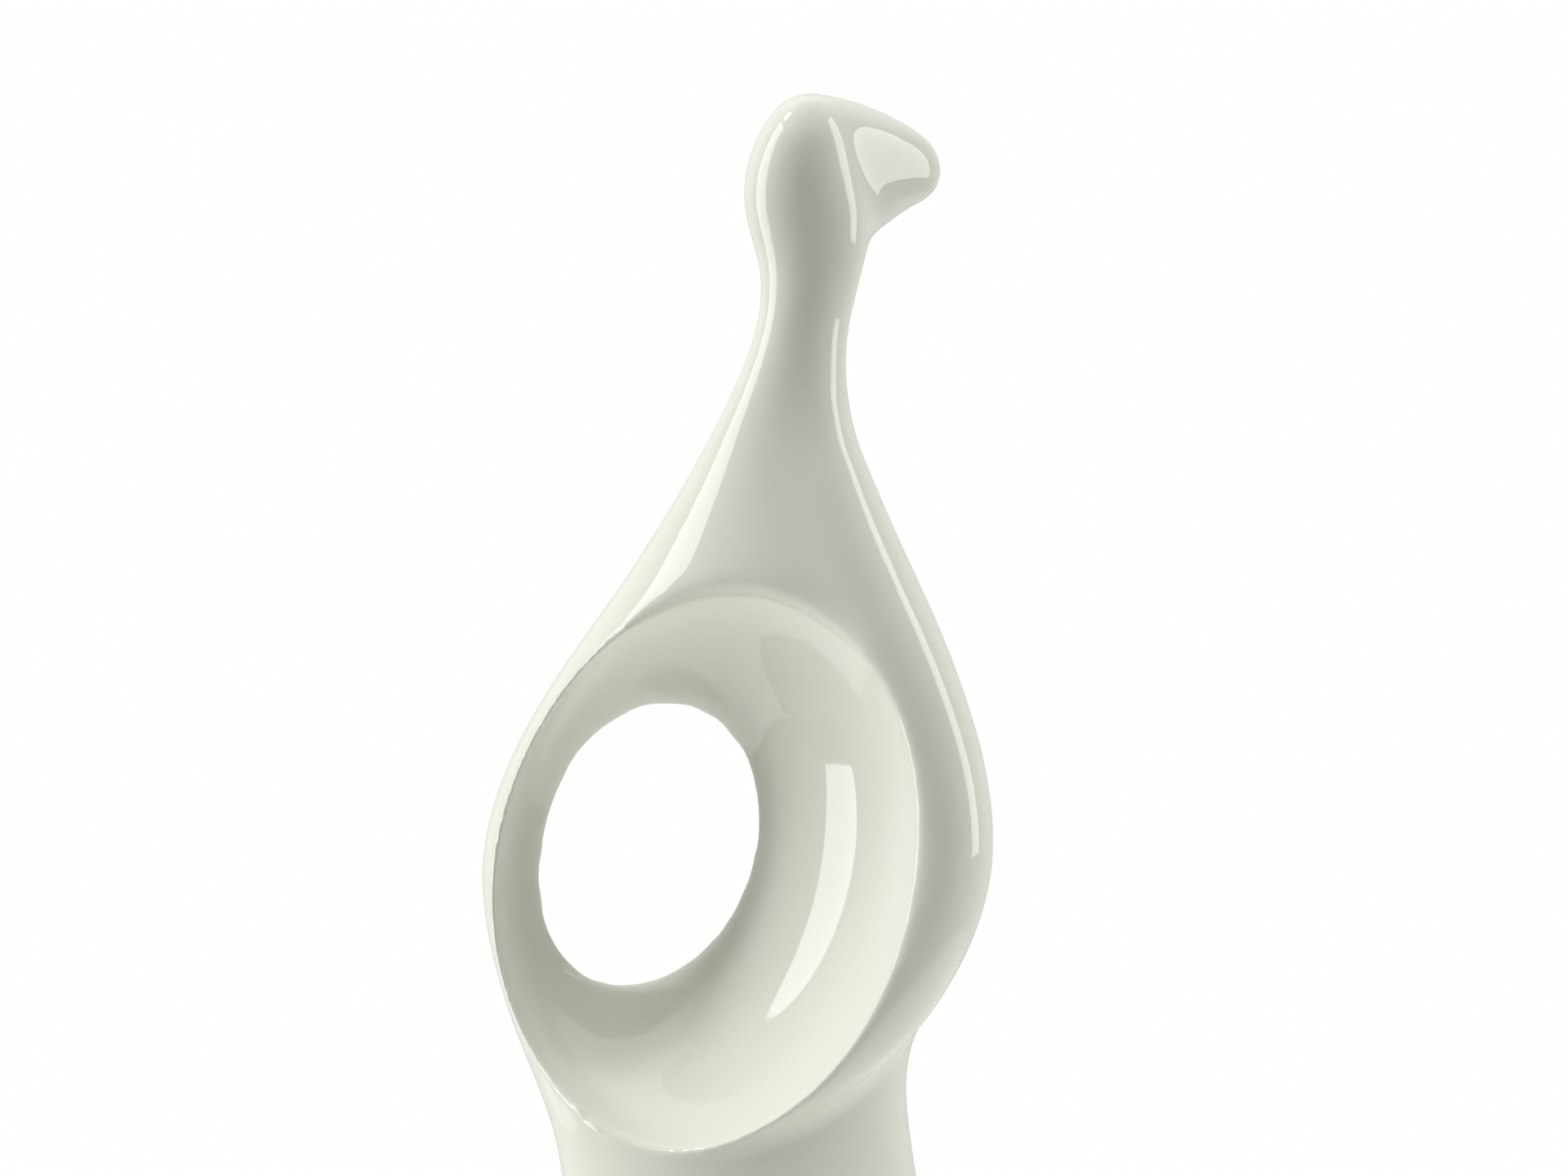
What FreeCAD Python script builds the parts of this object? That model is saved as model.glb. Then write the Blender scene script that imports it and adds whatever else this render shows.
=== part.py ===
import FreeCAD, Part
import os

# Porcelain figurine: an abstract standing woman with a pierced bowl through the body.
# Frame: +Z up, the open side of the bowl faces -Y, x runs to the viewer's right. Lengths in mm.
# The body is one loft through level rings. It is sliced into castings and the luting slip
# between them, so each seam follows the skin. A funnel is cut through the body from the front.

V = FreeCAD.Vector
doc = FreeCAD.newDocument("figurine")
sheet = doc.addObject("Spreadsheet::Sheet", "dims")

# Body rings from the foot up: name, height, centre x, half width, half depth, turn in degrees.
# A positive turn brings the right side forward. Half depth stays under 0.82 of half width,
# so either can change by a fifth and the ring's long axis stays across the body.
SKIRT_RINGS = [
    ("hem", 0.0, 1.5, 42.5, 33.0, 2.0),
    ("shin", 36.0, 1.8, 38.8, 30.4, 2.0),
    ("knee", 72.0, 1.9, 35.4, 27.9, 3.0),
    ("thigh", 108.0, 2.0, 32.6, 25.7, 4.0),
    ("waist", 142.5, 1.6, 30.6, 24.1, 6.0),
]
UPPER_RINGS = [
    ("lap", 130.5, 1.9, 31.3, 24.7, 5.0),
    ("belt", 154.5, -0.8, 31.1, 24.0, 8.5),
    ("crease", 166.5, -3.9, 33.8, 23.7, 12.0),
    ("hip", 178.0, -2.6, 40.0, 23.0, 15.0),
    ("belly", 189.0, -0.9, 44.5, 22.3, 17.0),
    ("middle", 200.0, 0.1, 46.2, 22.0, 18.0),
    ("rib", 211.5, 1.2, 44.2, 21.9, 18.0),
    ("breast", 222.5, 2.4, 39.6, 21.4, 17.0),
    ("chest", 234.0, 3.8, 33.5, 20.1, 15.0),
    ("shoulder", 245.0, 5.3, 26.7, 18.1, 12.0),
    ("collar", 256.0, 6.7, 20.2, 15.2, 9.0),
    ("throat", 267.5, 7.8, 14.6, 11.4, 6.0),
    ("neck_low", 278.5, 9.7, 9.75, 7.8, 3.0),
    ("neck", 290.0, 12.1, 7.4, 5.9, 2.0),
    ("chin", 302.0, 13.2, 8.7, 7.0, 2.0),
    ("jaw", 307.5, 12.4, 9.9, 8.1, 2.0),
    ("cheekbone", 313.5, 12.2, 10.2, 8.3, 2.0),
    ("brow", 319.0, 12.4, 9.4, 7.7, 2.0),
    ("temple", 323.5, 12.6, 8.0, 6.5, 2.0),
    ("crown", 327.0, 12.7, 6.0, 4.9, 2.0),
    ("peak", 329.2, 12.9, 3.6, 2.9, 2.0),
    ("top", 330.0, 13.0, 1.4, 1.1, 2.0),
]
# Hair bun rings, upright, from inside the head out to the tip:
# name, x, setback y, centre z, half height, half depth.
BUN_RINGS = [
    ("bun_root", 9.0, 0.5, 315.6, 9.5, 6.0),
    ("bun_crown", 15.0, 1.0, 316.4, 13.2, 8.0),
    ("bun_base", 20.0, 2.2, 316.6, 12.9, 7.6),
    ("bun_mid", 24.5, 4.0, 316.8, 11.1, 6.9),
    ("bun_taper", 28.5, 5.6, 317.4, 8.4, 5.8),
    ("bun_end", 32.0, 7.0, 317.4, 6.0, 4.6),
    ("bun_nose", 34.8, 8.1, 316.9, 4.0, 3.0),
    ("bun_tip", 36.2, 8.6, 316.7, 1.6, 1.2),
]
# Funnel rings, upright, from in front of the body to behind it:
# name, y, centre x, centre z, half height, half width.
FUNNEL_RINGS = [
    ("mouth", -45.0, -6.0, 199.8, 53.0, 41.0),
    ("rim", -24.0, -7.5, 199.6, 50.4, 37.2),
    ("cheek", -10.0, -10.4, 199.4, 46.0, 33.9),
    ("wall", 0.0, -12.8, 199.2, 41.4, 30.7),
    ("floor", 8.0, -14.8, 199.0, 37.0, 27.4),
    ("sill", 14.0, -15.7, 198.9, 32.5, 23.9),
    ("lip", 19.0, -15.4, 199.0, 27.2, 20.2),
    ("hole", 24.0, -14.8, 199.2, 23.5, 18.0),
    ("exit", 45.0, -14.7, 199.2, 23.2, 17.8),
]
SIZES = {
    "funnel_lean": 75.5,          # angle of the funnel rings' long axis from level
    "lap_drop": 12.0,             # how far below the waist seam the upper loft begins
    "neck_seam": 298.0, "slip": 0.6,
    "skirt_wall": 4.0,
    "plate_lift": 1.5, "plate_thickness": 3.5, "plate_gap": 0.5, "vent_radius": 4.5,
    "rim_round": 1.2, "edge_round": 1.0,
}

for name, height, centre, width, depth, turn in SKIRT_RINGS + UPPER_RINGS:
    SIZES.update({name + "_z": height, name + "_centre": centre, name + "_width": width,
                  name + "_depth": depth, name + "_turn": turn})
for name, along, back, z, half_height, depth in BUN_RINGS:
    SIZES.update({name + "_at": along, name + "_y": back, name + "_z": z,
                  name + "_rise": half_height, name + "_depth": depth})
for name, along, x, z, half_height, width in FUNNEL_RINGS:
    SIZES.update({name + "_y": along, name + "_x": x, name + "_z": z,
                  name + "_rise": half_height, name + "_width": width})
for row, (name, value) in enumerate(SIZES.items(), start=1):
    sheet.set("A%d" % row, name)
    sheet.set("B%d" % row, str(value))
    sheet.setAlias("B%d" % row, name)
doc.recompute()


def size(name):
    """A number read back from the sheet."""
    return float(sheet.get(name))


def bind(obj, **formulas):
    """Ties properties to sheet aliases. Each alias is written as a bare word with a leading @."""
    for prop, formula in formulas.items():
        obj.setExpression(prop.replace("__", "."), formula.replace("@", "dims."))
    return obj


def ring(label, long_half, short_half, x, y, z, rotation):
    """An ellipse whose sizes and place all come from the sheet."""
    ellipse = doc.addObject("Part::Ellipse", label)
    bind(ellipse, MajorRadius=long_half, MinorRadius=short_half)
    place = "placement(vector(%s; %s; %s); rotation(%s))" % (x, y, z, rotation)
    return bind(ellipse, Placement=place)


def loft(label, rings):
    solid = doc.addObject("Part::Loft", label)
    solid.Sections = rings
    solid.Solid = True
    solid.MaxDegree = 5
    return solid


def slab(label, bottom, top):
    """A wide block between two levels, used to slice the body."""
    box = doc.addObject("Part::Box", label)
    box.Placement.Base = V(-80, -80, 0)
    return bind(box, Length="160", Width="160", Height="%s - (%s)" % (top, bottom),
                Placement__Base__z=bottom)


def cylinder(label, radius, bottom, height, x="0"):
    rod = doc.addObject("Part::Cylinder", label)
    return bind(rod, Radius=radius, Height=height, Placement__Base__x=x, Placement__Base__z=bottom)


def boolean(kind, label, base, tool):
    result = doc.addObject("Part::" + kind, label)
    result.Base, result.Tool = base, tool
    return result


def body_ring(name, inset="0", level=None, tag=""):
    return ring(name + tag, "@%s_width - (%s)" % (name, inset), "@%s_depth - (%s)" % (name, inset),
                "@%s_centre" % name, "0", level or "@%s_z" % name, "-@%s_turn; 0; 0" % name)


def round_edges(label, base, wanted, radius):
    """Rounds the picked edges with the sheet's radius, or the nearest smaller one that rolls."""
    doc.recompute()
    picked = [i for i, edge in enumerate(base.Shape.Edges, start=1) if wanted(edge)]
    solid_volume = base.Shape.Volume
    fillet = doc.addObject("Part::Fillet", label)
    fillet.Base = base
    for share in (1.0, 0.9, 0.8, 0.7, 0.6, 0.5, 0.4, 0.3):
        fillet.Edges = [(i, radius * share, radius * share) for i in picked]
        doc.recompute()
        shape = fillet.Shape
        if not shape.isNull() and shape.isValid() and 0.9 < shape.Volume / solid_volume < 1.02:
            print(label, "rounds", len(picked), "edges at", round(radius * share, 2))
            return fillet
    raise RuntimeError(label + " rolls at no radius")


# The outer skin: the skirt up to the waist ring, and one loft from just below it to the crown.
SKIRT_NAMES = [row[0] for row in SKIRT_RINGS]
UPPER_NAMES = [row[0] for row in UPPER_RINGS]
UPPER_NAMES.insert(1, "waist")
skirt_skin = loft("skirt_skin", [body_ring(name) for name in SKIRT_NAMES])
lap_level = {"lap": "@waist_z - @lap_drop"}
upper_skin = loft("upper_skin", [body_ring(name, "0", lap_level.get(name), "_up") for name in UPPER_NAMES])
waist_slab = slab("waist_slab", "@waist_z", "@waist_z + @slip")
torso_slab = slab("torso_slab", "@waist_z + @slip", "@neck_seam")
neck_slab = slab("neck_slab", "@neck_seam", "@neck_seam + @slip")
head_slab = slab("head_slab", "@neck_seam + @slip", "@top_z + 1")


def inner_loft(label, inset, tag):
    """The skirt's rings drawn in by a wall, run on past both ends so it cuts clean through."""
    levels = {"hem": "@hem_z - 1", "waist": "@waist_z + 2"}
    return loft(label, [body_ring(name, inset, levels.get(name), tag) for name in SKIRT_NAMES])


# Skirt: a hollow casting, open at the waist and at the foot.
hollow = inner_loft("skirt_hollow", "@skirt_wall", "_in")
skirt = boolean("Cut", "skirt", skirt_skin, hollow)
waist_disc = boolean("Common", "waist_disc", upper_skin, waist_slab)
waist_slip = boolean("Cut", "waist_slip", waist_disc, hollow)

# Foot plate: a slab that closes the foot just above the unglazed foot ring, with a firing vent.
plate_slab = slab("plate_slab", "@plate_lift", "@plate_lift + @plate_thickness")
inner = inner_loft("plate_outline", "@skirt_wall + @plate_gap", "_plate")
plate_blank = boolean("Common", "plate_blank", inner, plate_slab)
vent = cylinder("vent", "@vent_radius", "@plate_lift - 1", "@plate_thickness + 2", x="@hem_centre")
foot_plate = boolean("Cut", "foot_plate", plate_blank, vent)
slip_blank = boolean("Common", "slip_blank", hollow, plate_slab)
foot_slip = boolean("Cut", "foot_slip", slip_blank, inner)

# Torso: the slice with the funnel cut through it and its two rims rounded.
funnel = loft("funnel", [
    ring(name, "@%s_rise" % name, "@%s_width" % name, "@%s_x" % name, "@%s_y" % name, "@%s_z" % name,
         "0; -@funnel_lean; 90")
    for name, *rest in FUNNEL_RINGS])
torso_blank = boolean("Common", "torso_blank", upper_skin, torso_slab)
pierced = boolean("Cut", "pierced", torso_blank, funnel)


def is_front_rim(edge):
    box = edge.BoundBox
    return box.ZMin > size("waist_z") + 2 and box.YMin < -5 and edge.Length > 4 * size("rim_rise")


def is_back_rim(edge):
    box = edge.BoundBox
    return box.YMin > 5 and box.ZMax - box.ZMin > 1.5 * size("hole_rise") and edge.Length > 4 * size("hole_rise")


rounded = round_edges("rounded", pierced, is_front_rim, size("rim_round"))
torso = round_edges("torso", rounded, is_back_rim, size("edge_round"))

# Neck seam and head: the top of the same skin, with the tapering bun grown out of its right side.
neck_slip = boolean("Common", "neck_slip", upper_skin, neck_slab)
face = boolean("Common", "face", upper_skin, head_slab)
bun = loft("bun", [
    ring(name, "@%s_rise" % name, "@%s_depth" % name, "@%s_at" % name, "@%s_y" % name, "@%s_z" % name,
         "0; -90; 0")
    for name, *rest in BUN_RINGS])
head = boolean("Fuse", "head", face, bun)

NODES = [skirt, foot_plate, foot_slip, waist_slip, torso, neck_slip, head]
doc.recompute()

bad = [o.Label for o in doc.Objects if "Invalid" in o.State or "Error" in o.State]
if bad:
    raise RuntimeError("objects that failed to build: " + ", ".join(bad))
os.makedirs("parts", exist_ok=True)
for node in NODES:
    shape = node.Shape
    if shape.isNull() or not shape.isValid() or len(shape.Solids) != 1:
        raise RuntimeError("%s is not one valid solid" % node.Label)
    box = shape.BoundBox
    shape.exportStep("parts/%s.step" % node.Label)
    print("%-11s volume %9.1f  x %6.1f..%5.1f  y %6.1f..%5.1f  z %6.1f..%6.1f"
          % (node.Label, shape.Volume, box.XMin, box.XMax, box.YMin, box.YMax, box.ZMin, box.ZMax))
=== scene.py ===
# %% [markdown]
# # A porcelain figurine
# A standing woman reduced to a few smooth volumes: an egg for the head with a bun drawn out to a
# point, a long neck, a leaf-shaped body with a deep bowl pressed into it and pierced, and a plain
# skirt. It is slip-cast and glazed, so nothing on it is sharp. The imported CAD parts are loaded
# first: they fix the size, and every piece made here has to fit inside their box.

# %% Load the frame
import bpy
import math
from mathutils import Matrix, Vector


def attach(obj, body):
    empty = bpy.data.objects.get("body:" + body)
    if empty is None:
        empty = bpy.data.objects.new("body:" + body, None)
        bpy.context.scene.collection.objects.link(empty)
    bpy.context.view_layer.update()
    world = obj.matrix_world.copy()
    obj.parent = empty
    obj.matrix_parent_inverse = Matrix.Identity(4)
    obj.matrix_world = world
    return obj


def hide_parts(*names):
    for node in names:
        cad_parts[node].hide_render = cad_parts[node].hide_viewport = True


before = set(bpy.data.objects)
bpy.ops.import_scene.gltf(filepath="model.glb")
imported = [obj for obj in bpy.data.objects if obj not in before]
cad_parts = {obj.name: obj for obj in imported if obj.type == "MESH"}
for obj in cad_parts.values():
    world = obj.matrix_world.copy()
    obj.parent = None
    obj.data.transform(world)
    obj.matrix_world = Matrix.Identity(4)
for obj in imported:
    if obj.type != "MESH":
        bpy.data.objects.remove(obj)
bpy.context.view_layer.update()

MM = 0.001

# %% [markdown]
# A soft cast form is best drawn as rings. Each ring is a plain circle, placed, turned and squashed
# to the body's outline at its level. The rings are joined into one object and bridged, as a boat's
# skin is laid over its ribs. The two open ends are closed with a face each.

# %% Helpers for lofting
def only(obj):
    """Leaves this object alone selected and active."""
    bpy.ops.object.select_all(action="DESELECT")
    obj.select_set(True)
    bpy.context.view_layer.objects.active = obj


def circle(centre, half_wide, half_deep, turn, points):
    """A circle squashed to an ellipse, its centre and half sizes in millimetres."""
    bpy.ops.mesh.primitive_circle_add(vertices=points, radius=1, fill_type="NOTHING",
                                      location=[v * MM for v in centre], rotation=turn)
    bpy.context.object.scale = (half_wide * MM, half_deep * MM, 1)
    return bpy.context.object


def select_level(obj, axis, level):
    """In edit mode: selects the vertices that lie at one level along an axis."""
    bpy.ops.mesh.select_all(action="DESELECT")
    bpy.ops.object.mode_set(mode="OBJECT")
    for vertex in obj.data.vertices:
        vertex.select = abs(vertex.co[axis] - level) < 1e-5
    bpy.ops.object.mode_set(mode="EDIT")


def loft(name, circles, axis):
    """Joins circles that stand along an axis, bridges them and closes both ends."""
    bpy.ops.object.select_all(action="DESELECT")
    for ring in circles:
        ring.select_set(True)
    bpy.context.view_layer.objects.active = circles[0]
    ends = [circles[0].location[axis], circles[-1].location[axis]]
    bpy.ops.object.transform_apply(location=True, rotation=True, scale=True)
    bpy.ops.object.join()
    obj = bpy.context.object
    obj.name = name
    bpy.ops.object.mode_set(mode="EDIT")
    bpy.ops.mesh.select_mode(type="VERT")
    bpy.ops.mesh.select_all(action="SELECT")
    bpy.ops.mesh.bridge_edge_loops(type="SINGLE")
    for end in ends:
        select_level(obj, axis, end)
        bpy.ops.mesh.edge_face_add()
    bpy.ops.mesh.select_all(action="SELECT")
    bpy.ops.mesh.normals_make_consistent(inside=False)
    bpy.ops.object.mode_set(mode="OBJECT")
    return obj


def finish_with(obj, kind, **settings):
    """Adds a modifier with these settings and applies it."""
    only(obj)
    modifier = obj.modifiers.new(kind.lower(), kind)
    for key, value in settings.items():
        setattr(modifier, key, value)
    bpy.ops.object.modifier_apply(modifier=modifier.name)


def subdivide(obj, levels=2):
    finish_with(obj, "SUBSURF", levels=levels, render_levels=levels)


# %% [markdown]
# The body runs from below the waist seam to the crown. Each ring has its height, its centre to the
# right of the middle, its half width, its half depth, and how many degrees its right side is
# brought forward. The rings stand about eleven millimetres apart, and closer on the head. The body
# turns a little to the left, so its right edge is nearer and the bowl looks past the viewer's
# shoulder. Subdivision rounds what lies between.

# %% Body rings
BODY = [
    (128, 2, 31.5, 24.5, 4),      # top of the skirt
    (143, 1.5, 30.5, 23.5, 6),    # waist seam
    (155, -1, 31, 22.5, 9),
    (167, -4, 34, 22, 13),        # crease under the bowl
    (178, -2.5, 40, 21.5, 16),
    (189, -1, 45, 20.5, 19),
    (200, 0, 46.5, 20, 20),       # widest level
    (211, 1, 44.5, 19, 21),
    (222, 2, 40, 18, 22),
    (233, 3.5, 34, 16.5, 22),     # chest
    (245, 5.5, 26.5, 14, 22),
    (256, 6.5, 20, 12, 20),       # shoulders
    (267, 8, 14.5, 9.5, 15),
    (278, 9.5, 10, 7.5, 7),
    (290, 12, 7.5, 6.5, 0),       # neck
    (300, 14, 9, 7.5, 0),         # chin
    (308, 13, 11.5, 9, 0),
    (316, 12, 10.5, 10, 0),       # widest level of the head
    (323, 12.5, 8.5, 8.5, 0),
    (328, 13, 5.5, 5.5, 0),
    (330, 13.5, 2.5, 2.5, 0),     # crown
]
body = loft("figure", [
    circle((x, 0, z), wide, deep, (0, 0, -math.radians(turn)), 64)
    for z, x, wide, deep, turn in BODY], axis=2)
subdivide(body)
print("body skin:", len(body.data.polygons), "faces")

# %% [markdown]
# The hair is one cone with a round tip, drawn out of the head to the right and back. Its rings
# stand upright along X: place, setback, height, half height, half depth. They start inside the
# head, so the two merge.

# %% Bun
BUN = [
    (9.0, -0.5, 315.6, 10.5, 8.4), (14.0, 0.6, 316.4, 13.0, 9.6), (18.0, 2.4, 316.1, 13.6, 9.4),
    (22.0, 4.6, 315.8, 12.7, 8.2), (25.0, 5.9, 316.5, 10.9, 7.4), (27.5, 6.9, 317.0, 9.4, 6.6),
    (30.0, 7.7, 317.3, 7.7, 5.6), (32.2, 8.3, 317.2, 6.5, 4.5), (34.0, 8.8, 317.0, 5.4, 3.6),
    (35.4, 9.2, 316.8, 4.0, 2.6), (36.3, 9.4, 316.7, 2.0, 1.3),
]
bun = loft("bun", [
    circle((x, y, z), tall, deep, (0, math.radians(90), 0), 32)
    for x, y, z, tall, deep in BUN], axis=0)
subdivide(bun)
print("bun:", len(bun.data.polygons), "faces")

# %% [markdown]
# The right side of the body is a rounded limb. It starts at the neck, swings out past the bowl and
# comes back in under it. A curve with a round bevel is the simplest limb: each point has a place
# and a thickness, and the curve passes smoothly along them.

# %% Right limb
LIMB = [
    (12.3, 0.0, 283.0, 6.4), (13.2, -1.5, 272.0, 7.3), (15.5, -3.7, 261.8, 8.8),
    (19.8, -6.8, 248.0, 10.3), (26.2, -10.8, 234.0, 10.4), (30.8, -14.0, 222.6, 10.0),
    (33.9, -16.2, 212.0, 9.8), (35.1, -17.5, 201.0, 9.5), (33.3, -18.2, 192.3, 9.3),
    (30.3, -19.0, 185.1, 9.0), (24.9, -19.5, 176.9, 9.0), (18.5, -20.3, 170.5, 8.5),
    (10.5, -20.6, 163.6, 7.6), (-2.2, -19.6, 156.5, 6.6), (-13.0, -15.5, 154.5, 5.5),
    (-21.0, -6.0, 156.0, 4.5),
]
bpy.ops.curve.primitive_nurbs_path_add()
limb = bpy.context.object
limb.name = "limb"
spline = limb.data.splines[0]
spline.points.add(len(LIMB) - len(spline.points))
for point, (x, y, z, thick) in zip(spline.points, LIMB):
    point.co = (x * MM, y * MM, z * MM, 1)
    point.radius = thick
spline.order_u = 3
spline.use_endpoint_u = True
limb.data.bevel_depth = MM
limb.data.bevel_resolution = 8
limb.data.resolution_u = 8
limb.data.use_fill_caps = True
bpy.ops.object.convert(target="MESH")
print("limb:", len(limb.data.polygons), "faces")

# %% [markdown]
# Clay has no seams, so the three volumes are joined and remeshed into one even skin, as a sculptor
# would rub the joins away. Smoothing after that draws a soft fillet into each crease.

# %% Blend the volumes
def remesh(obj, voxel, rounds):
    """One skin of even faces, then smoothed."""
    only(obj)
    obj.data.remesh_voxel_size = voxel * MM
    obj.data.remesh_voxel_adaptivity = 0
    bpy.ops.object.voxel_remesh()
    finish_with(obj, "SMOOTH", factor=0.5, iterations=rounds)
    print(obj.name, "has", len(obj.data.polygons), "faces of", voxel, "mm")


only(body)
bun.select_set(True)
limb.select_set(True)
bpy.ops.object.join()
remesh(body, voxel=0.8, rounds=40)

# %% [markdown]
# The bowl is the mark of a blunt egg-shaped tool pushed in from the front and out through the back.
# Its rings stand upright along Y, from before the chest to behind the back: place, centre to the
# right, height, half height, half width. They lean a little, as the bowl does.

# %% Bowl and hole
BOWL = [
    (-45.0, -5.0, 199.8, 53.0, 39.5), (-24.0, -6.0, 199.6, 50.2, 35.7), (-17.0, -7.1, 199.5, 48.1, 34.3),
    (-10.0, -8.9, 199.4, 45.8, 32.4), (-5.0, -10.8, 199.3, 43.6, 30.3), (0.0, -13.1, 199.2, 41.2, 27.7),
    (4.0, -14.5, 199.1, 39.1, 25.9), (8.0, -15.4, 199.0, 36.8, 24.4), (12.0, -15.8, 198.8, 34.0, 23.2),
    (15.0, -15.9, 198.7, 31.4, 22.0), (18.0, -15.9, 198.7, 28.2, 19.7), (21.0, -15.8, 198.8, 25.2, 17.9),
    (24.0, -15.5, 198.7, 23.0, 16.8), (30.0, -15.5, 198.6, 22.7, 16.3), (45.0, -15.5, 198.6, 22.7, 16.3),
]
LEAN = math.radians(14.5)
bowl = loft("bowl", [
    circle((x, y, z), wide, tall, (math.radians(90), LEAN, 0), 64)
    for y, x, z, tall, wide in BOWL], axis=1)
subdivide(bowl)
finish_with(body, "BOOLEAN", object=bowl, operation="DIFFERENCE", solver="EXACT")
bpy.data.objects.remove(bowl)
remesh(body, voxel=0.72, rounds=24)

# %% [markdown]
# The rim is crisp down both sides but melts away at the top, where the chest rolls over into the
# bowl. The hair melts into the neck in the same way, and the hole's edge at the back is dulled. A
# thumb would do that in wet clay. Here a smoothing is weighted by the distance from each spot,
# which is given by its centre, its reach and its rounds.

# %% Soften three spots
def thumb(obj, centre, reach, rounds):
    spot = Vector([v * MM for v in centre])
    group = obj.vertex_groups.new(name="thumb")
    for vertex in obj.data.vertices:
        away = (vertex.co - spot).length / (reach * MM)
        if away < 1:
            group.add([vertex.index], 1 - away ** 2, "REPLACE")
    finish_with(obj, "SMOOTH", factor=0.5, iterations=rounds, vertex_group="thumb")
    obj.vertex_groups.clear()
    print("softened within", reach, "mm of", centre)


thumb(body, (2, -14, 249), reach=26, rounds=160)
thumb(body, (24, 5, 304), reach=12, rounds=80)
thumb(body, (-15, 23, 199), reach=34, rounds=110)

# %% [markdown]
# The body is cut off level at the waist seam, and the open edge is drawn down ring by ring into the
# skirt: out to the hem, round the foot, flat across the unglazed foot ring and up the inside of the
# hollow casting. The skirt grows from the body's own edge, so no line shows between them.

# %% Skirt
WAIST = 143.0
SKIRT = [
    (138.0, 1.004), (130.0, 1.016), (120.0, 1.036), (108.0, 1.063), (95.0, 1.096), (80.0, 1.137),
    (64.0, 1.184), (48.0, 1.235), (32.0, 1.290), (18.0, 1.337), (8.0, 1.368), (3.0, 1.380), (1.2, 1.380),
    (0.4, 1.370), (0.0, 1.352), (0.0, 1.262), (0.5, 1.250), (2.5, 1.244), (14.0, 1.205), (40.0, 1.120),
    (80.0, 0.995), (115.0, 0.905), (140.0, 0.860),
]
CENTRE = Vector((1.6 * MM, 0, 0))
only(body)
bpy.ops.object.mode_set(mode="EDIT")
bpy.ops.mesh.select_mode(type="VERT")
bpy.ops.mesh.select_all(action="SELECT")
bpy.ops.mesh.bisect(plane_co=(0, 0, WAIST * MM), plane_no=(0, 0, 1), clear_inner=True)
bpy.ops.mesh.select_all(action="DESELECT")
bpy.ops.mesh.select_non_manifold(extend=False)
bpy.ops.transform.resize(value=(1, 1, 0), center_override=(0, 0, WAIST * MM))
height, size = WAIST, 1.0
for next_height, next_size in SKIRT:
    bpy.ops.mesh.extrude_edges_move(TRANSFORM_OT_translate={"value": (0, 0, (next_height - height) * MM)})
    grow = next_size / size
    bpy.ops.transform.resize(value=(grow, grow, 1), center_override=CENTRE)
    height, size = next_height, next_size
bpy.ops.mesh.edge_face_add()
bpy.ops.mesh.select_all(action="SELECT")
bpy.ops.mesh.normals_make_consistent(inside=False)
bpy.ops.object.mode_set(mode="OBJECT")
bpy.ops.object.shade_smooth()
for label, pick in (("low", min), ("high", max)):
    corner = [pick(v.co[i] for v in body.data.vertices) / MM for i in range(3)]
    print("figure's", label, "corner in mm:", [round(v, 1) for v in corner])
print("triangles:", sum(len(p.vertices) - 2 for p in body.data.polygons))
edge_use = {}
for face in body.data.polygons:
    for key in face.edge_keys:
        edge_use[key] = edge_use.get(key, 0) + 1
print("open edges:", sum(count != 2 for count in edge_use.values()))
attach(body, "root")
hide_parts("head", "torso", "skirt", "neck_slip", "waist_slip")

# %% [markdown]
# Glazed porcelain is a white body under a skin of clear glass. The white is a little green and
# warm, and uneven over a few centimetres. The glaze lies almost flat, with a slow ripple that bends
# long reflections, and it holds a few iron specks, each finer than a pin. One group gives the three.

# %% Glaze group
def new_group(name, inputs, outputs):
    group = bpy.data.node_groups.new(name, "ShaderNodeTree")
    for label, kind in inputs:
        group.interface.new_socket(name=label, in_out="INPUT", socket_type=kind)
    for label, kind in outputs:
        group.interface.new_socket(name=label, in_out="OUTPUT", socket_type=kind)
    return group, group.nodes.new("NodeGroupInput"), group.nodes.new("NodeGroupOutput")


def noise(tree, coordinates, scale, detail):
    node = tree.nodes.new("ShaderNodeTexNoise")
    node.inputs["Scale"].default_value = scale
    node.inputs["Detail"].default_value = detail
    tree.links.new(coordinates, node.inputs["Vector"])
    return node.outputs["Fac"]


def ramp(tree, value, low, high, out_low=0.0, out_high=1.0):
    node = tree.nodes.new("ShaderNodeMapRange")
    node.interpolation_type = "SMOOTHSTEP"
    for label, number in (("From Min", low), ("From Max", high), ("To Min", out_low), ("To Max", out_high)):
        node.inputs[label].default_value = number
    tree.links.new(value, node.inputs["Value"])
    return node.outputs["Result"]


def blend(tree, share, first, second):
    """Mixes two colours. Each is a socket or a plain colour."""
    node = tree.nodes.new("ShaderNodeMix")
    node.data_type = "RGBA"
    tree.links.new(share, node.inputs["Factor"])
    for socket, colour in ((node.inputs["A"], first), (node.inputs["B"], second)):
        if isinstance(colour, bpy.types.NodeSocket):
            tree.links.new(colour, socket)
        else:
            socket.default_value = (*colour, 1)
    return node.outputs["Result"]


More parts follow.
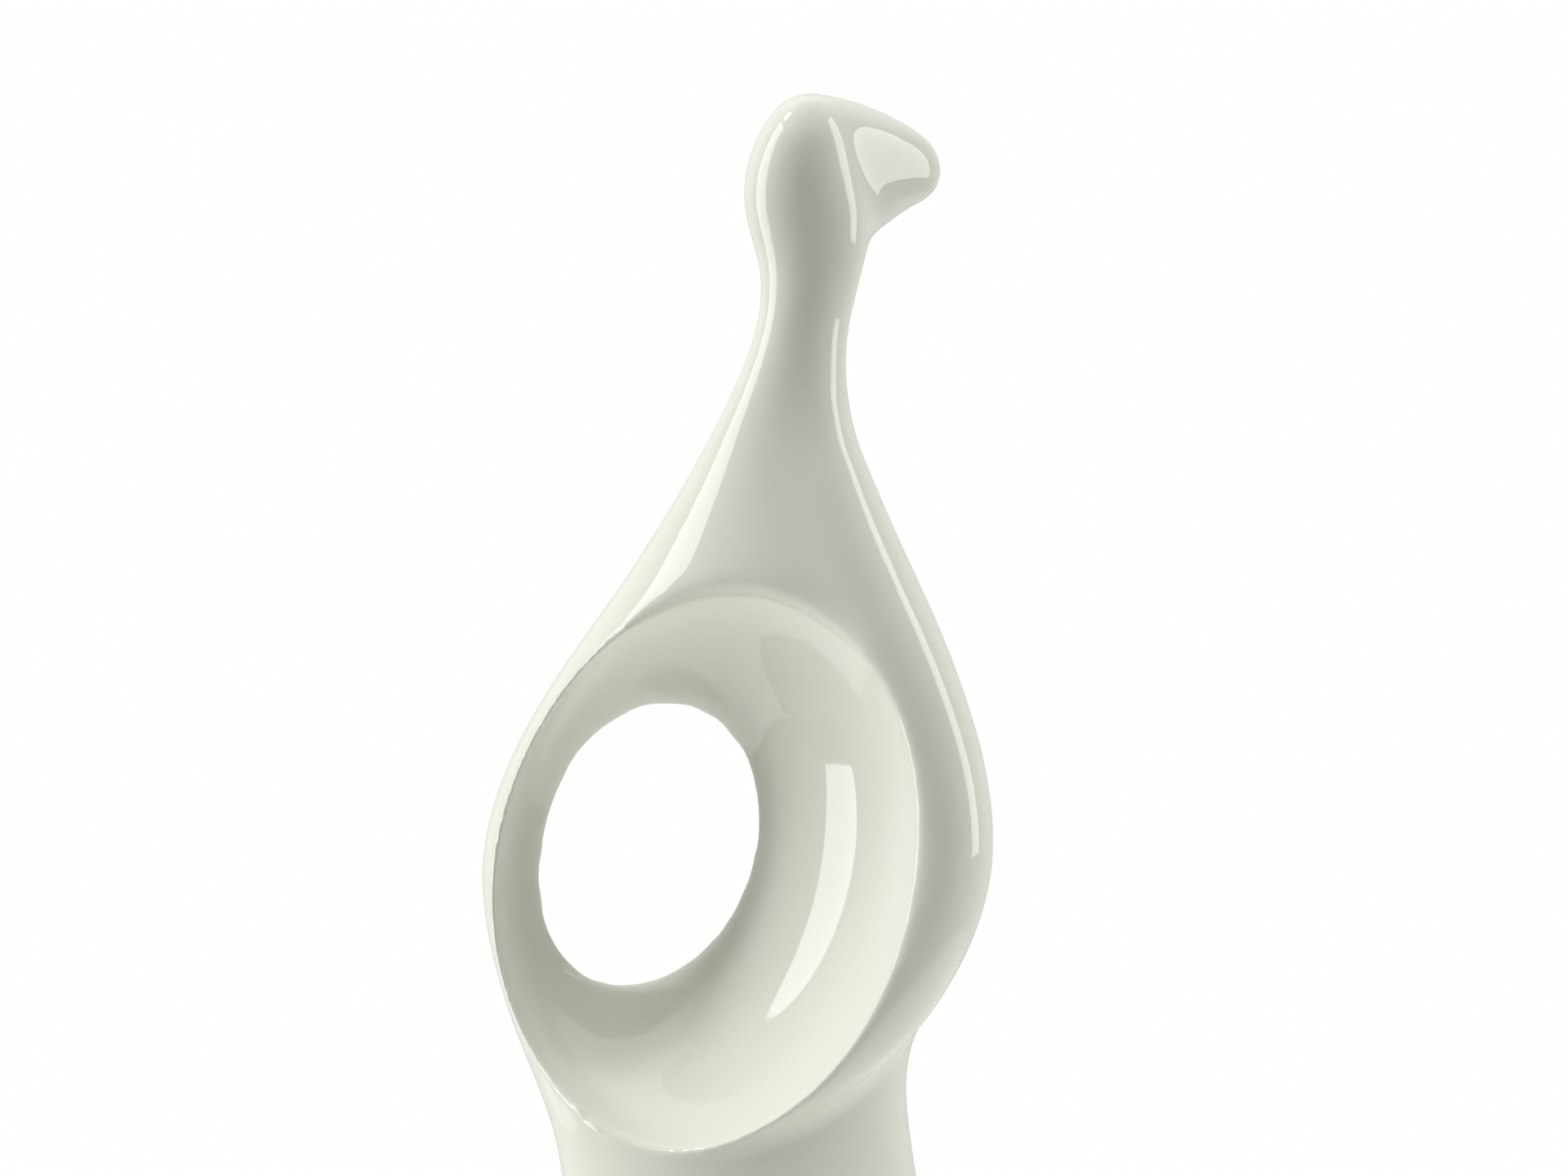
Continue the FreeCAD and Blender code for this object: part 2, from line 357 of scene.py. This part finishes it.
SPECK_CELLS = 75              # cells per metre, each of which may hold a speck
IRON = (0.16, 0.13, 0.09)
fired, fired_in, fired_out = new_group(
    "fired surface",
    [("Clean", "NodeSocketColor"), ("Toned", "NodeSocketColor"), ("Specks", "NodeSocketFloat")],
    [("Color", "NodeSocketColor"), ("Ripple", "NodeSocketFloat")])
place = fired.nodes.new("ShaderNodeTexCoord").outputs["Object"]
tone = ramp(fired, noise(fired, place, scale=22, detail=2), low=0.35, high=0.68)
toned = blend(fired, tone, fired_in.outputs["Clean"], fired_in.outputs["Toned"])
cells = fired.nodes.new("ShaderNodeTexVoronoi")
cells.inputs["Scale"].default_value = SPECK_CELLS
fired.links.new(place, cells.inputs["Vector"])
dot = ramp(fired, cells.outputs["Distance"], low=0.010, high=0.022, out_low=1, out_high=0)
split = fired.nodes.new("ShaderNodeSeparateColor")
fired.links.new(cells.outputs["Color"], split.inputs["Color"])
chosen = fired.nodes.new("ShaderNodeMath")
chosen.operation = "LESS_THAN"
fired.links.new(split.outputs["Red"], chosen.inputs[0])
fired.links.new(fired_in.outputs["Specks"], chosen.inputs[1])
specks = fired.nodes.new("ShaderNodeMath")
specks.operation = "MULTIPLY"
fired.links.new(dot, specks.inputs[0])
fired.links.new(chosen.outputs[0], specks.inputs[1])
coloured = blend(fired, specks.outputs[0], toned, IRON)
fired.links.new(coloured, fired_out.inputs["Color"])
fired.links.new(noise(fired, place, scale=38, detail=1), fired_out.inputs["Ripple"])
print("group:", fired.name, "with", len(fired.nodes), "nodes")

# %% Glaze and bisque
RIPPLE_HEIGHT = 0.0004        # metres
UNGLAZED_BELOW = 0.35 * MM


def fired_material(name, clean, toned, specks, roughness, ripple):
    material = bpy.data.materials.new(name)
    material.use_nodes = True
    tree = material.node_tree
    shader = tree.nodes["Principled BSDF"]
    group = tree.nodes.new("ShaderNodeGroup")
    group.node_tree = fired
    group.inputs["Clean"].default_value = (*clean, 1)
    group.inputs["Toned"].default_value = (*toned, 1)
    group.inputs["Specks"].default_value = specks
    tree.links.new(group.outputs["Color"], shader.inputs["Base Color"])
    bump = tree.nodes.new("ShaderNodeBump")
    bump.inputs["Strength"].default_value = ripple
    bump.inputs["Distance"].default_value = RIPPLE_HEIGHT
    tree.links.new(group.outputs["Ripple"], bump.inputs["Height"])
    tree.links.new(bump.outputs["Normal"], shader.inputs["Normal"])
    shader.inputs["Roughness"].default_value = roughness
    return material


glaze = fired_material("glaze", (0.865, 0.87, 0.785), (0.85, 0.855, 0.755),
                       specks=0.05, roughness=0.04, ripple=0.12)
bisque = fired_material("bisque", (0.80, 0.79, 0.75), (0.70, 0.68, 0.62),
                        specks=0.10, roughness=0.75, ripple=0.5)
body.data.materials.append(glaze)
body.data.materials.append(bisque)
for face in body.data.polygons:
    if face.center.z < UNGLAZED_BELOW:
        face.material_index = 1
for name in ("foot_plate", "foot_slip"):
    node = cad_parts[name]
    node.data.materials.clear()
    node.data.materials.append(bisque)
print("unglazed faces on the foot ring:", sum(face.material_index for face in body.data.polygons))

# %% [markdown]
# The figure stands in a light tent. White walls at the sides and behind, and a white table, light
# it softly all round, while the open side where the camera stands is darker. A tall soft box on
# each side draws the long clean stripes down the glaze, and a small lamp overhead gives it a spark.

# %% World
world = bpy.data.worlds.new("tent")
bpy.context.scene.world = world
world.use_nodes = True
tree = world.node_tree
background = tree.nodes["Background"]
axes = tree.nodes.new("ShaderNodeSeparateXYZ")
tree.links.new(tree.nodes.new("ShaderNodeTexCoord").outputs["Generated"], axes.inputs[0])
walls = ramp(tree, axes.outputs["Y"], low=-0.30, high=0.75, out_low=0.02, out_high=0.60)
ceiling = ramp(tree, axes.outputs["Z"], low=0.45, high=0.90, out_low=0.0, out_high=1.3)
tent = tree.nodes.new("ShaderNodeMath")
tent.operation = "MAXIMUM"
tree.links.new(walls, tent.inputs[0])
tree.links.new(ceiling, tent.inputs[1])
shown = tree.nodes.new("ShaderNodeMix")
tree.links.new(tree.nodes.new("ShaderNodeLightPath").outputs["Is Camera Ray"], shown.inputs["Factor"])
tree.links.new(tent.outputs[0], shown.inputs["A"])
shown.inputs["B"].default_value = 1.0
tree.links.new(shown.outputs["Result"], background.inputs["Strength"])
background.inputs["Color"].default_value = (0.99, 1.0, 0.985, 1)

# %% Lamps
def soft_box(name, bearing, distance, bottom, wide, tall, radiance):
    """An upright lamp facing the figure. Bearing is degrees to the right of the camera's side."""
    angle = math.radians(bearing)
    place = Vector((math.sin(angle) * distance, -math.cos(angle) * distance, bottom + tall / 2))
    bpy.ops.object.light_add(type="AREA", location=place)
    lamp = bpy.context.object
    lamp.name = name
    lamp.data.shape = "RECTANGLE"
    lamp.data.size, lamp.data.size_y = wide, tall
    lamp.data.energy = radiance * math.pi * wide * tall
    lamp.rotation_euler = Vector((place.x, place.y, 0)).to_track_quat("Z", "Y").to_euler()


soft_box("left_box", bearing=-86, distance=0.8, bottom=0.03, wide=0.36, tall=1.15, radiance=4.2)
soft_box("right_box", bearing=82, distance=0.8, bottom=0.16, wide=0.26, tall=1.0, radiance=4.4)
LAMP = Vector((-0.50, 0.02, 1.05))
LAMP_AIM = Vector((0, 0, 0.24))
LAMP_SIZE, LAMP_RADIANCE = 0.16, 16
bpy.ops.object.light_add(type="AREA", location=LAMP)
spark = bpy.context.object
spark.name = "overhead_lamp"
spark.data.shape = "DISK"
spark.data.size = LAMP_SIZE
spark.data.energy = LAMP_RADIANCE * math.pi * math.pi * (LAMP_SIZE / 2) ** 2
spark.rotation_euler = (LAMP - LAMP_AIM).to_track_quat("Z", "Y").to_euler()

# %% [markdown]
# The table is a pale disc that fades to plain white away from the figure, so the shadow stays and
# the table's edge doesn't show.

# %% Table
TABLE_RADIUS = 0.5
FADE_FROM, FADE_TO = 0.12, 0.36
bpy.ops.mesh.primitive_circle_add(vertices=96, radius=TABLE_RADIUS, fill_type="NGON")
table = bpy.context.object
table.name = "table"
paper = bpy.data.materials.new("table_white")
paper.use_nodes = True
tree = paper.node_tree
shader = tree.nodes["Principled BSDF"]
shader.inputs["Base Color"].default_value = (0.86, 0.87, 0.86, 1)
shader.inputs["Roughness"].default_value = 0.6
glow = tree.nodes.new("ShaderNodeEmission")
far = tree.nodes.new("ShaderNodeVectorMath")
far.operation = "LENGTH"
tree.links.new(tree.nodes.new("ShaderNodeTexCoord").outputs["Object"], far.inputs[0])
fade = tree.nodes.new("ShaderNodeMath")
fade.operation = "MULTIPLY"
tree.links.new(ramp(tree, far.outputs["Value"], FADE_FROM, FADE_TO), fade.inputs[0])
tree.links.new(tree.nodes.new("ShaderNodeLightPath").outputs["Is Camera Ray"], fade.inputs[1])
mix = tree.nodes.new("ShaderNodeMixShader")
tree.links.new(fade.outputs[0], mix.inputs[0])
tree.links.new(shader.outputs[0], mix.inputs[1])
tree.links.new(glow.outputs[0], mix.inputs[2])
tree.links.new(mix.outputs[0], tree.nodes["Material Output"].inputs["Surface"])
table.data.materials.append(paper)

# %% [markdown]
# A long lens, level with the chest and almost straight on, keeps the outline true. The frame holds
# the figure from the crown to the top of the skirt.

# %% Camera
bpy.ops.object.camera_add()
camera = bpy.context.object
RANGE, RISE = 0.9, math.radians(2.0)
AIM = Vector((8.75 * MM, 0, 245.0 * MM))
SENSOR = 36                   # millimetres
VIEW_WIDTH = 0.2688           # metres across the frame, at the figure
camera.location = AIM + Vector((0, -math.cos(RISE), math.sin(RISE))) * RANGE
camera.rotation_euler = (camera.location - AIM).to_track_quat("Z", "Y").to_euler()
camera.data.sensor_width = SENSOR
camera.data.lens = SENSOR * RANGE / VIEW_WIDTH
bpy.context.scene.camera = camera
bpy.context.scene.view_settings.view_transform = "Standard"
